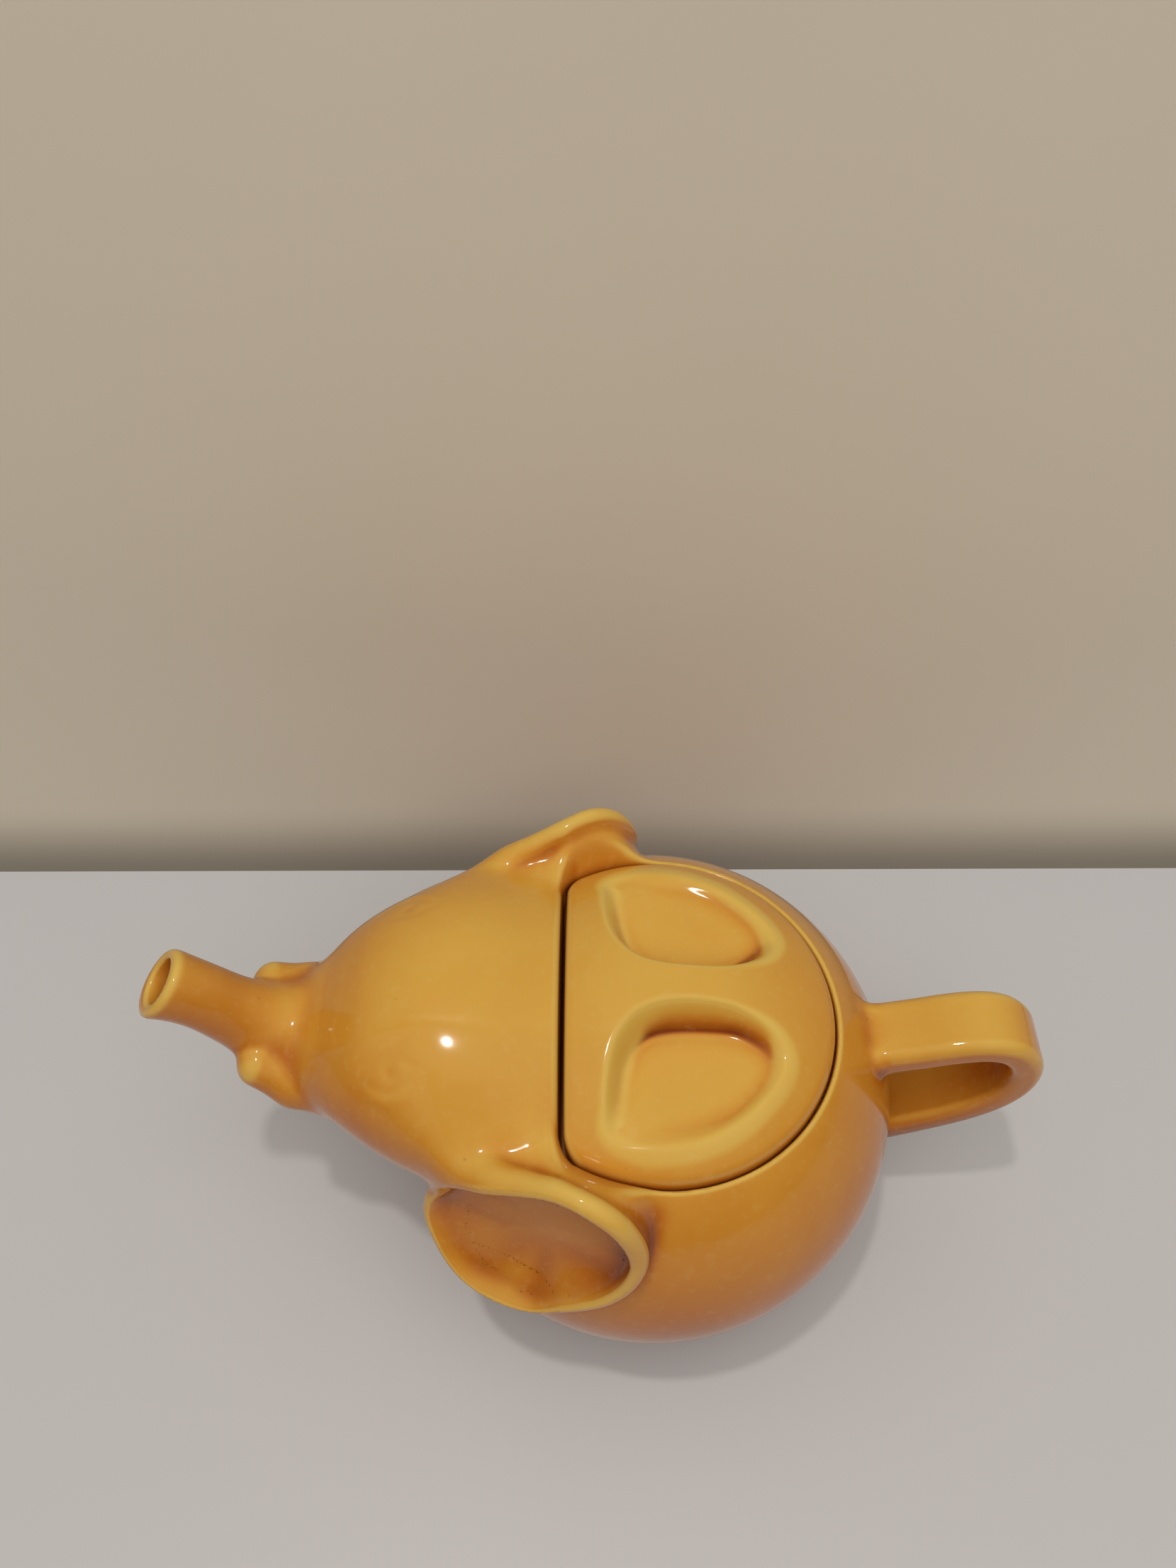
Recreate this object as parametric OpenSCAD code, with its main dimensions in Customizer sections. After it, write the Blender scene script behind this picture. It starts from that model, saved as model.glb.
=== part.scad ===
// Elephant-shaped slip-cast teapot. The trunk is the spout, the ears lie along
// the sides of the head, a strap loop at the back is the handle, and a D-shaped
// domed lid with two finger scoops lifts straight up out of its gallery.
//
// Frame: +Z up, origin at the centre of the foot ring on the table, spout
// towards -X, handle towards +X, and the pot is mirror-symmetric about Y = 0.

/* [Belly] */
// Outside radius of the belly at its widest
belly_r = 66; // [62:0.5:70]
// Half height of the belly ellipsoid
belly_half_h = 60.8; // [58:0.2:63]
// Height of the widest line above the table
belly_mid_z = 58.2; // [56:0.2:60]
// Fired wall thickness
wall = 4.5; // [4:0.5:5.5]
// Outer radius of the foot ring
foot_r = 33; // [31:0.5:36]
// Width of the foot ring's resting face
foot_w = 6; // [5:0.5:8]

/* [Lid] */
// Radius of the lid's round edge
lid_r = 44.2; // [43:0.1:44.6]
// Distance from the belly axis to the centre of that edge, towards the handle
lid_cx = 1.7; // [1:0.1:2.5]
// Position of the lid's straight front edge
lid_front_x = -21.2; // [-22:0.1:-20.5]
// Corner radius where the straight edge meets the round one
lid_corner_r = 4; // [3:0.5:5]
// Height of the ledge the lid rests on
seat_z = 96; // [95:0.5:97]
// Gap round the lid's edge
lid_gap = 0.7; // [0.5:0.1:1]
// Thickness of the lid wall
lid_wall = 4.2; // [3.8:0.2:5]
// Depth of the finger scoops' floor above the ledge
scoop_floor = 8; // [7:0.5:9]
// Depth of the locating collar below the ledge
collar_depth = 8; // [6:0.5:10]

/* [Trunk spout] */
// Radius of the pouring bore at the mouth
bore_r = 6; // [5.5:0.1:6.3]

/* [Handle] */
// Width of the strap
strap_w = 17.6; // [16:0.2:19]
// Thickness of the strap
strap_t = 8; // [7:0.2:9]

/* [Hidden] */

glaze = [0.86, 0.60, 0.16];
inner_glaze = [0.90, 0.66, 0.24];
bisque = [0.93, 0.88, 0.78];

slip = 0.15;       // the slip line left between luted castings
body_fn = 96;      // facets of the revolved pieces
cutter_fn = 72;    // facets of the belly-shaped cutter
lid_fn = 120;      // facets of the lid's dome
outline_fn = 128;  // facets of the lid outline's round edge
tip_cut = 0.01;    // height left off a revolved dome's tip
clear_z = 140;     // height of cutters that pass above the whole pot

belly_top = belly_mid_z + belly_half_h;
mouth_r = lid_r + lid_gap;
mouth_front_x = lid_front_x - 1.8;

// ---------- shared helpers ----------
function lerp(a, b, t) = a + (b - a) * t;
function sum(v, i = 0) = i < len(v) ? v[i] + sum(v, i + 1) : 0;

// Catmull-Rom curve from p1 (t = 0) to p2 (t = 1)
function spline(p0, p1, p2, p3, t) =
    0.5 * (2 * p1 + (p2 - p0) * t
        + (2 * p0 - 5 * p1 + 4 * p2 - p3) * t * t
        + (3 * p1 - p0 - 3 * p2 + p3) * t * t * t);

// Smooth interpolation of station rows at place s in 0..len-1
function row_at(rows, s) =
    let (n = len(rows), i = min(n - 2, max(0, floor(s))))
    spline(rows[max(0, i - 1)], rows[i], rows[i + 1], rows[min(n - 1, i + 2)], s - i);

// Elliptical ring of a station: [centre x, centre z, half width, half height, tilt back]
function ring(station, grow, count) =
    let (half_w = station[2] + grow, half_h = station[3] + grow, tilt = station[4])
    [for (i = [0:count - 1]) let (a = 360 * i / count)
        [station[0] + half_h * sin(a) * sin(tilt),
         half_w * cos(a),
         station[1] + half_h * sin(a) * cos(tilt)]];

// Rings evenly spaced along a table of stations
function rings_along(rows, steps, grow, count) =
    [for (j = [0:steps]) ring(row_at(rows, (len(rows) - 1) * j / steps), grow, count)];

function ring_centre(points) =
    [for (axis = [0:2]) sum([for (p = points) p[axis]]) / len(points)];

// Closed polyhedron through rings of equal length, capped at both ends
module loft(rings) {
    m = len(rings);
    n = len(rings[0]);
    points = concat([for (r = rings) each r],
                    [ring_centre(rings[0]), ring_centre(rings[m - 1])]);
    sides = [for (j = [0:m - 2]) for (i = [0:n - 1])
        let (a = j * n + i, b = j * n + (i + 1) % n, c = a + n, d = b + n)
        each [[a, b, d], [a, d, c]]];
    first_cap = [for (i = [0:n - 1]) [m * n, (i + 1) % n, i]];
    last_cap = [for (i = [0:n - 1])
        [m * n + 1, (m - 1) * n + i, (m - 1) * n + (i + 1) % n]];
    polyhedron(points = points, faces = concat(sides, first_cap, last_cap));
}

// ---------- belly ----------
belly_base_z = 5.2;      // underside, just above the foot ring
belly_floor_z = 10.5;    // inside floor
cavity_top_z = 114;
flat_top_z = belly_top - 0.4;
foot_h = 5.1;
foot_chamfer = 1.2;

// Radius of the belly, grown by `grow`, at height z
function belly_r_at(z, grow = 0) =
    let (q = (z - belly_mid_z) / (belly_half_h + grow))
    (belly_r + grow) * sqrt(max(0, 1 - q * q));

// Height of the belly's upper surface on the plane Y = 0
function belly_z_at(x) = belly_mid_z + belly_half_h * sqrt(1 - pow(x / belly_r, 2));

function belly_curve(grow, z0, z1, steps) =
    [for (i = [0:steps]) let (z = lerp(z0, z1, i / steps)) [belly_r_at(z, grow), z]];

module belly_profile(grow, z0, z1, steps) {
    polygon(concat([[0, z0]], belly_curve(grow, z0, z1, steps), [[0, z1]]));
}

// Takes the belly and a slip line out of the castings luted to it
module belly_cutter() {
    rotate_extrude($fn = cutter_fn) belly_profile(slip, 3, belly_top + slip - tip_cut, 30);
}

// The slanted neck seam, where the head is luted on, ends at these [x, z] points
neck_top_x = -26.5;
neck_low_x = -belly_r * 65 / 66;
neck_top = [neck_top_x, belly_z_at(neck_top_x)];
neck_low = [neck_low_x, belly_z_at(neck_low_x) - 2.75];
neck_tilt = atan2(neck_top[0] - neck_low[0], neck_top[1] - neck_low[1]);
neck_block = [200, 200, 300];

// Block along the seam plane whose front face lies `start` behind it
module neck_side(start) {
    translate([neck_top[0], 0, neck_top[1]]) rotate([0, neck_tilt, 0])
        translate([start, -neck_block[1] / 2, -neck_block[2] / 2]) cube(neck_block);
}

module belly() color(glaze) difference() {
    rotate_extrude($fn = body_fn) difference() {
        polygon(concat([[foot_r - 1, belly_base_z]],
                       belly_curve(0, belly_base_z + 1, flat_top_z, 44),
                       [[0, flat_top_z], [0, belly_base_z]]));
        belly_profile(-wall, belly_floor_z, cavity_top_z, 40);
    }
    // the mouth that the lid closes
    d_plate(mouth_r, mouth_front_x, 80, clear_z);
    // the neck opens into the head
    neck_side(-neck_block[0]);
}

// Foot ring: the one flat face the pot stands on
module foot_ring() color(bisque) rotate_extrude($fn = body_fn) polygon([
    [foot_r - foot_w, 0], [foot_r - foot_chamfer, 0], [foot_r, foot_chamfer],
    [foot_r, foot_h], [foot_r - foot_w, foot_h]]);

// ---------- lid outline ----------
// D shape: a circle of radius r about (lid_cx, 0) cut by the line x = front_x, with
// each corner eased round by short flats
module d_shape(r, front_x, corner_r = lid_corner_r) {
    corner_x = front_x + corner_r;
    corner_y = sqrt(pow(r - corner_r, 2) - pow(corner_x - lid_cx, 2));
    end_angle = atan2(corner_y, corner_x - lid_cx);
    outer_r = corner_r + 3;    // reach of the corner cutter past the round edge
    difference() {
        intersection() {
            translate([lid_cx, 0]) circle(r = r, $fn = outline_fn);
            translate([front_x, -r - 5]) square([2 * r + 10, 2 * r + 10]);
        }
        // the arc's two end points stand out a little, clear of the edges they meet
        for (side = [1, -1])
            polygon(concat(
                [for (k = [0:4])
                    let (a = lerp(180, end_angle, k / 4),
                         arc_r = k % 4 == 0 ? corner_r + 0.05 : corner_r)
                    [corner_x + arc_r * cos(a), side * (corner_y + arc_r * sin(a))]],
                [[corner_x + outer_r * cos(end_angle),
                  side * (corner_y + outer_r * sin(end_angle))],
                 [front_x - 3, side * (corner_y + corner_r + 6)],
                 [front_x - 3, side * corner_y]]));
    }
}

module d_plate(r, front_x, z0, z1, corner_r = lid_corner_r) {
    translate([0, 0, z0]) linear_extrude(z1 - z0) d_shape(r, front_x, corner_r);
}

// ---------- lid gallery ----------
ledge_t = 4;
ledge_w = 5.2;          // from the lid's round edge in to the opening
ledge_front_w = 4.4;    // from the lid's straight edge back to the opening
gallery_top_z = 112;
front_wall_t = 4;

// Ledge under the lid's rim, with the upright front wall that closes off the back of the head
module lid_gallery() color(inner_glaze) {
    difference() {
        rotate_extrude($fn = body_fn)
            belly_profile(-wall - slip, seat_z - ledge_t, gallery_top_z, 16);
        // room for the lid above the ledge
        d_plate(mouth_r, mouth_front_x, seat_z, clear_z);
        // the opening inside the ledge
        d_plate(lid_r - ledge_w, lid_front_x + ledge_front_w, seat_z - 10, seat_z + 1, 3);
        // in front of the upright wall
        translate([mouth_front_x - front_wall_t - 100, -100, 60]) cube([100, 200, 100]);
        // the wall only stands along the straight edge
        translate([mouth_front_x + 2, -100, seat_z]) cube([100, 200, 100]);
    }
}

// ---------- head and trunk ----------
head_points = 40;     // points round a ring
trunk_points = 32;
inner_shift = 0.02;   // the head's hollow is set this far back

seam_mid = (neck_top + neck_low) / 2;
seam_half_h = norm(neck_top - neck_low) / 2;
seam_half_w = belly_r * sqrt(1 - pow(seam_mid[0] / belly_r, 2)
                               - pow((seam_mid[1] - belly_mid_z) / belly_half_h, 2));

// Stations from the neck forwards: centre x, centre z, half width, half height, tilt
head_rows = [
    [seam_mid[0], seam_mid[1], seam_half_w, seam_half_h, neck_tilt],
    [-50.0, 93.5, 39.0, 30.3, 32],
    [-57.0, 95.3, 38.0, 28.3, 24],
    [-65.0, 96.0, 33.6, 26.8, 18],
    [-73.0, 95.0, 28.4, 23.6, 14],
    [-81.0, 93.2, 22.4, 19.0, 13],
    [-88.0, 92.2, 17.0, 15.0, 18]];
head_end = head_rows[len(head_rows) - 1];

// The same columns, starting one slip line in front of the head
trunk_rows = [
    [head_end[0] - slip * cos(head_end[4]), head_end[1] + slip * sin(head_end[4]),
     head_end[2], head_end[3], head_end[4]],
    [-94.0, 94.8, 12.8, 12.2, 30],
    [-100.2, 99.9, 10.3, 10.3, 41],
    [-106.4, 107.0, 8.6, 8.8, 45],
    [-112.8, 113.9, 8.3, 8.5, 42],
    [-119.0, 119.2, 9.0, 9.1, 36]];

module head_solid(grow = 0) {
    loft(rings_along(head_rows, 18, grow, head_points));
}

// Hollow of the head, which runs out past both its ends
module head_inner() {
    seam = head_rows[0];
    loft(concat(
        [ring([seam[0] + 8, seam[1] - 7, seam[2], seam[3], seam[4]], -wall, head_points)],
        rings_along(head_rows, 16, -wall, head_points),
        [ring([-90, 93, 12.5, 10.5, 18], 0, head_points)]));
}

// Here and below, resize([0, 0, 0]) leaves every size as it is
module head_shell() color(glaze) resize([0, 0, 0]) difference() {
    head_solid();
    translate([inner_shift, 0, 0]) head_inner();
    neck_side(-slip);
}

module trunk_solid(grow = 0) {
    loft(rings_along(trunk_rows, 14, grow, trunk_points));
}

// Bore that narrows from the trunk's wall offset at the root to bore_r at the mouth
module trunk_bore() {
    last = len(trunk_rows) - 1;
    root = trunk_rows[0];
    mouth = trunk_rows[last];
    steps = 12;
    loft(concat(
        [ring([root[0] + 2, root[1] - 0.6, 13.0, 11.0, root[4]], 0, trunk_points)],
        [for (j = [0.5:steps - 0.5])
            let (row = row_at(trunk_rows, last * j / steps), blend = pow(1 - j / steps, 1.6))
            ring([row[0], row[1], lerp(bore_r, row[2] - wall, blend),
                  lerp(bore_r, row[3] - wall, blend), row[4]], 0, trunk_points)],
        [ring([mouth[0] - 2, mouth[1] + 2.4, bore_r, bore_r, mouth[4]], 0, trunk_points)]));
}

module trunk_spout() color(glaze) resize([0, 0, 0]) difference() {
    trunk_solid();
    trunk_bore();
}

// ---------- ears ----------
// Crest [x, y, z] of the rolled rim of the +Y ear, going from the head over the top and
// down the rear edge, then along the lower edge and up the front
ear_rim = [
    [-53, 36.5, 92], [-50, 37.5, 102], [-41, 41.4, 110.3], [-30.6, 44.3, 115.1],
    [-20.6, 47.9, 118.2], [-12.6, 52.2, 117.3], [-6.2, 55.6, 110.8], [-2.9, 58.4, 98.5],
    [-4.8, 61.3, 89.5], [-10.4, 63.2, 80.5], [-18.5, 63.1, 71], [-29.5, 60.9, 61.5],
    [-40.3, 57, 60.5], [-49, 51.5, 61.3], [-54.2, 46, 66.5], [-56, 41.5, 74],
    [-55.5, 38.5, 82]];
ear_centre = [-28, 54, 86];          // middle of the rim's opening
ear_normal = [-0.405, 0.872, 0.27];  // the way the ear faces
ear_roll = 2.9;                      // radius of the rolled rim
ear_dish = 3.2;                      // how deep the face is dished
ear_floor = 2;                       // least height of the face above the belly
ear_lid_gap = 0.3;                   // added to the mouth's outline
ear_points = 52;                     // points round the rim

// Rings of the face, as shares of the way from the centre to the rim
ear_face_shares = [0.06, 0.35, 0.65, 0.95];
// Rings over the roll and down its back: outward and facing offsets, in roll radii
ear_roll_offsets = [
    [-1, 0], [-0.65, 0.75], [0, 1], [0.7, 0.7], [1, 0],
    [0.75, -0.9], [-0.4, -2.4], [-2.5, -4.6], [-6.5, -7]];

// Point on the closed rim at place s in 0..len
function ear_rim_at(s) =
    let (n = len(ear_rim), i = floor(s))
    spline(ear_rim[(i + n - 1) % n], ear_rim[i % n], ear_rim[(i + 1) % n],
           ear_rim[(i + 2) % n], s - i);

// Direction from the ear's centre to p, square to the way the ear faces
function ear_outward(p) =
    let (d = p - ear_centre, flat = d - ear_normal * (d * ear_normal)) flat / norm(flat);

ear_crest = [for (i = [0:ear_points - 1]) ear_rim_at(len(ear_rim) * i / ear_points)];

// Pushes a point of the dished face clear of the belly so that the ear keeps a floor
function off_belly(p) =
    let (r = (belly_r + ear_floor) * belly_r_at(p[2]) / belly_r)
    [p[0], max(p[1], sqrt(max(0, r * r - p[0] * p[0]))), p[2]];

function ear_face_ring(share) =
    [for (p = ear_crest)
        let (edge = p - ear_outward(p) * ear_roll * 2.6)
        off_belly(ear_centre + (edge - ear_centre) * share
            - ear_normal * (0.5 * ear_roll + ear_dish * (1 - share * share)))];

function ear_roll_ring(offset) =
    [for (p = ear_crest)
        p + ear_outward(p) * ear_roll * (offset[0] - 1) + ear_normal * ear_roll * offset[1]];

module ear() resize([0, 0, 0]) difference() {
    loft(concat([for (share = ear_face_shares) ear_face_ring(share)],
                [for (offset = ear_roll_offsets) ear_roll_ring(offset)]));
    belly_cutter();
    head_solid(slip);
    // keeps clear of the lid and its gap
    d_plate(mouth_r + ear_lid_gap, mouth_front_x - ear_lid_gap, 60, clear_z);
    // keeps clear of the middle of the neck
    translate([-70, -20, 60]) cube([60, 40, 80]);
}
module ear_left() color(glaze) mirror([0, 1, 0]) ear();
module ear_right() color(glaze) ear();

// ---------- tusks ----------
// The +Y tusk: three balls from root to tip, trimmed to the head and trunk
module tusk() resize([0, 0, 0]) difference() {
    hull() {
        translate([-82, 17.5, 84]) sphere(r = 6.0, $fn = 24);
        translate([-92, 16.0, 89]) sphere(r = 5.8, $fn = 24);
        translate([-98, 14.0, 94.5]) sphere(r = 4.8, $fn = 24);
    }
    head_solid(slip);
    trunk_solid(slip);
}
module tusk_left() color(glaze) mirror([0, 1, 0]) tusk();
module tusk_right() color(glaze) tusk();

// ---------- handle ----------
// [x, z] of the strap's centreline, from its upper root round to its lower one
strap_rows = [
    [52, 85], [60, 87], [69, 89.6], [77, 92.3], [84.5, 93.6], [90.5, 92.2],
    [95.2, 87.6], [97.9, 81], [98, 73.5], [95.8, 66.5], [91.5, 60], [85, 54],
    [77, 48.5], [68, 43], [60, 38.5], [52, 34.5]];
strap_steps = 36;
strap_points = 28;     // points round a ring
strap_margin = 0.03;   // part of a row left off each end

function signed_pow(v, exponent) = sign(v) * pow(abs(v), exponent);

// Rounded-box section square to the centreline at place s
function strap_ring(s) =
    let (centre = row_at(strap_rows, s),
         step = row_at(strap_rows, s + 0.02) - row_at(strap_rows, s - 0.02),
         along = step / norm(step))
    [for (i = [0:strap_points - 1])
        let (a = 360 * i / strap_points,
             across = strap_w / 2 * signed_pow(cos(a), 0.55),
             out = strap_t / 2 * signed_pow(sin(a), 0.75))
        [centre[0] + along[1] * out, across, centre[1] - along[0] * out]];

module handle() color(glaze) resize([0, 0, 0]) difference() {
    loft([for (j = [0:strap_steps])
        strap_ring(strap_margin
            + (len(strap_rows) - 1 - 2 * strap_margin) * j / strap_steps)]);
    belly_cutter();
}

// ---------- lid ----------
rim_w = 5.4;                // solid rim outside the hollow, beyond the wall
rim_front_w = 4.6;          // the same along the straight edge
lid_blank_top = 130;
collar_inset = 6.0;         // from the lid's round edge
collar_front_inset = 5.2;   // from the lid's straight edge
collar_t = 3.6;

// One finger scoop (the +Y one): a rounded bowl whose steep side undercuts the pinch bar.
// Each ball's centre is its own radius above the floor.
module scoop(grow = 0) {
    floor_z = seat_z + scoop_floor;
    hull() {
        translate([0, 16.4, floor_z + 9]) sphere(r = 9 + grow, $fn = 36);
        translate([14, 15.4, floor_z + 9]) sphere(r = 9 + grow, $fn = 36);
        translate([22, 17.4, floor_z + 9.6]) sphere(r = 9.6 + grow, $fn = 36);
        translate([-1, 27, floor_z + 10]) sphere(r = 10 + grow, $fn = 36);
        translate([12, 27.5, floor_z + 11]) sphere(r = 11 + grow, $fn = 36);
    }
}
module both_scoops(grow = 0) {
    for (m = [0, 1]) mirror([0, m, 0]) scoop(grow);
}

module lid_dome() color(glaze) resize([0, 0, 0]) difference() {
    intersection() {
        d_plate(lid_r, lid_front_x, seat_z, lid_blank_top);
        // the belly's own dome carried over the mouth
        rotate_extrude($fn = lid_fn)
            polygon(concat([[0, seat_z]], belly_curve(0, seat_z, belly_top, 30)));
    }
    // hollow underneath, following the dome and the scoops
    difference() {
        intersection() {
            d_plate(lid_r - lid_wall - rim_w, lid_front_x + lid_wall + rim_front_w,
                    seat_z - 1, lid_blank_top, 3);
            rotate_extrude($fn = body_fn)
                belly_profile(-lid_wall, seat_z - 1, belly_top - lid_wall - tip_cut, 20);
        }
        both_scoops(lid_wall);
    }
    both_scoops();
}

// Locating collar below the lid, which keeps it from sliding or turning in the mouth
module lid_collar() color(inner_glaze)
    translate([0, 0, seat_z - collar_depth]) linear_extrude(collar_depth) difference() {
        d_shape(lid_r - collar_inset, lid_front_x + collar_front_inset, 3.5);
        d_shape(lid_r - collar_inset - collar_t,
                lid_front_x + collar_front_inset + collar_t, 2.5);
    }

belly();
foot_ring();
lid_gallery();
head_shell();
trunk_spout();
ear_left();
ear_right();
tusk_left();
tusk_right();
handle();
lid_dome();
lid_collar();
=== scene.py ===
# A glazed elephant pot with a lid. The origin is the centre of the foot, +Z is up, the trunk
# points to -X and the handle to +X. The shape is a set of distance fields in millimetres,
# negative inside, that are meshed casting by casting. The stage is in metres.
import math

import bpy
import numpy as np
from mathutils import Matrix, Vector


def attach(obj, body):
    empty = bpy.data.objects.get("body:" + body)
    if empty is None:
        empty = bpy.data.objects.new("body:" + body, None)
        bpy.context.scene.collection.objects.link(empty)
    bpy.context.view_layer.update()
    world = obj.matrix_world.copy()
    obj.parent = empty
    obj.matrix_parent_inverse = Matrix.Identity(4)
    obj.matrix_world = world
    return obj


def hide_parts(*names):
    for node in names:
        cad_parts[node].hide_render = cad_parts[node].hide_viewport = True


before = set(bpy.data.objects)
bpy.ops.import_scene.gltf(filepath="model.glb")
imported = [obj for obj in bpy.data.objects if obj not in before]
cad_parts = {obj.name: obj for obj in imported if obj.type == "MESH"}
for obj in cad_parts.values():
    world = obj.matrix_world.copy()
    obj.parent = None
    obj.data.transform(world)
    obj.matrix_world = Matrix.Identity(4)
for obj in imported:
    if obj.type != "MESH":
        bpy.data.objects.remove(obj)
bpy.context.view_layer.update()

# ---- driving dimensions, mm ----
BELLY_R, BELLY_H, BELLY_Z = 66.0, 60.8, 58.2    # belly ellipsoid: radius, half height, centre
WALL = 4.5
FOOT_R = 30.0
SEAT = 96.0                                     # top of the ledge the lid rests on
LEDGE_BASE = SEAT - 4.0
CHAMBER_X = -27.6                               # -X face of the wall beside the lid
LID_R, LID_X, LID_FLAT_X = 44.2, 1.7, -21.8     # D outline: radius, centre, straight edge
LID_PROUD = 0.2                                 # lid above the belly's ellipsoid
# insets from the lid's outline: (at the round edge, at the straight edge)
MOUTH_INSET = (-0.42, -1.2)
OPENING_INSET = (5.2, 4.4)
COLLAR_OUTER = (6.0, 5.2)
COLLAR_INNER = (9.6, 8.8)
POT_STEP = 0.8                # meshing grids
LID_STEP = 0.55
SETTLE_ROUNDS = 2
FAR = 60.0                                      # stands in for a distance that isn't worked out


# =====================================================================
# Helpers for fields and curves
# =====================================================================
def smin(one, two, blend):
    """Smooth minimum."""
    near = np.maximum(blend - np.abs(one - two), 0.0) / blend
    return np.minimum(one, two) - near * near * near * (blend / 6.0)


def smax(one, two, blend):
    return -smin(-one, -two, blend)


def ease(start, stop, x):
    """Smooth step from 0 at start to 1 at stop."""
    t = np.clip((x - start) / (stop - start), 0.0, 1.0)
    return t * t * (3 - 2 * t)


def unit(vec):
    return np.array(vec, float) / np.linalg.norm(vec)


def chunks(total, size):
    """Slices that keep the working arrays small."""
    return [slice(i, i + size) for i in range(0, total, size)]


def cubic(before, start, stop, after, t):
    """Catmull-Rom curve between start and stop."""
    return 0.5 * (2 * start + (stop - before) * t
                  + (2 * before - 5 * start + 4 * stop - after) * t * t
                  + (3 * start - before - 3 * stop + after) * t ** 3)


def catmull(rows, per, closed=False):
    """Smooth curve through rows, with per samples to a span."""
    rows = np.asarray(rows, float)
    count = len(rows)
    t = (np.arange(per) / per)[:, None]
    out = []
    for i in range(count if closed else count - 1):
        ids = [i + k for k in (-1, 0, 1, 2)]
        ids = [k % count if closed else min(max(k, 0), count - 1) for k in ids]
        out.append(cubic(*rows[ids], t))
    if not closed:
        out.append(rows[-1][None])
    return np.concatenate(out)


def lid_outline(x, y, inset=(0.0, 0.0), corner=4.0):
    """Distance to the lid's D-shaped outline, drawn in by inset."""
    circle = np.hypot(x - LID_X, y) - (LID_R - inset[0]) + corner
    line = LID_FLAT_X + inset[1] - x + corner
    outside = np.hypot(np.maximum(circle, 0), np.maximum(line, 0))
    return outside - corner + np.minimum(np.maximum(circle, line), 0)


def belly_field(x, y, z):
    flat, rise = x * x + y * y, z - BELLY_Z
    ratio = np.sqrt(flat / (BELLY_R * BELLY_R) + rise * rise / (BELLY_H * BELLY_H))
    slope = np.sqrt(flat / BELLY_R ** 4 + rise * rise / BELLY_H ** 4)
    return ratio * (ratio - 1.0) / np.maximum(slope, 1e-6)


# =====================================================================
# Head and trunk: elliptical sections along one curve
# =====================================================================
# centre x, centre z, half width, half height, tilt in degrees, egg (wider above)
HEAD = [
    [-12.0, 88.0, 38.0, 27.0, 10, 0.0], [-30.0, 91.5, 41.5, 26.8, 10, 0.0],
    [-45.0, 94.5, 41.4, 27.0, 10, 0.04], [-58.0, 95.6, 37.5, 26.8, 11, 0.09],
    [-67.0, 95.6, 32.9, 25.6, 12, 0.12], [-75.0, 94.8, 27.6, 23.2, 13, 0.2],
    [-82.0, 93.2, 22.2, 19.6, 15, 0.30], [-88.4, 92.4, 17.0, 16.0, 21, 0.26],
    [-94.2, 94.4, 12.6, 12.2, 31, 0.08], [-99.8, 98.6, 10.2, 10.2, 40, 0.0],
    [-105.4, 104.8, 8.6, 8.9, 45, 0.0], [-111.2, 112.0, 8.1, 8.4, 45, 0.0],
    [-116.3, 116.4, 8.4, 8.8, 44, 0.0], [-120.4, 118.8, 9.0, 9.8, 43, 0.0]]
BORE_W, BORE_H = 5.75, 5.85             # least half width and half height of the hollow
_rows = catmull(HEAD, 30)
_tilt = np.radians(_rows[:, 4])
# the same columns, with the tilt as its cosine and sine
STATIONS = np.column_stack([_rows[:, :4], np.cos(_tilt), np.sin(_tilt), _rows[:, 5]])


def ahead(station, x, z):
    """How far a point lies beyond a station's plane, towards the trunk's tip."""
    mid_x, mid_z, _, _, cos, sin, _ = station.T
    return -(x - mid_x) * cos + (z - mid_z) * sin


def station_at(place):
    place = np.clip(place, 0, len(STATIONS) - 1.001)
    i = place.astype(np.int32)
    part = (place - i)[:, None]
    return STATIONS[i] * (1 - part) + STATIONS[i + 1] * part


def station_through(x, z):
    """The station whose plane holds each point, found by halving."""
    low, high = np.zeros_like(x), np.full_like(x, len(STATIONS) - 1)
    for _ in range(20):
        mid = (low + high) / 2
        beyond = ahead(station_at(mid), x, z) > 0
        low = np.where(beyond, mid, low)
        high = np.where(beyond, high, mid)
    return station_at((low + high) / 2)


def ellipse(across, up, half_w, half_h):
    ratio = np.sqrt((across / half_w) ** 2 + (up / half_h) ** 2)
    slope = np.sqrt((across / half_w ** 2) ** 2 + (up / half_h ** 2) ** 2)
    return ratio * (ratio - 1.0) / np.maximum(slope, 1e-6)


def head_fields(x, y, z):
    """(outer distance, hollow distance) of the head and trunk."""
    outer, hollow = np.full_like(x, FAR), np.full_like(x, FAR)
    near = (x < 12) & (np.abs(y) < 62) & (z > 48)
    if near.any():
        x, y, z = x[near], y[near], z[near]
        mid_x, mid_z, half_w, half_h, cos, sin, egg = station_through(x, z).T
        up = (x - mid_x) * sin + (z - mid_z) * cos
        past, before = ahead(STATIONS[-1], x, z), -ahead(STATIONS[0], x, z)
        across = y / (1 + egg * np.clip(up / half_h, -1.1, 1.1))
        outer[near] = smax(np.maximum(ellipse(across, up, half_w, half_h), before), past, 3.4)
        up = up - 0.9 * ease(-111.0, -119.0, x)     # the bore rises at the tip
        bore = ellipse(across, up, np.maximum(half_w - WALL, BORE_W),
                       np.maximum(half_h - WALL, BORE_H))
        hollow[near] = np.maximum(bore, before + 2)
    return outer, hollow


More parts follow.
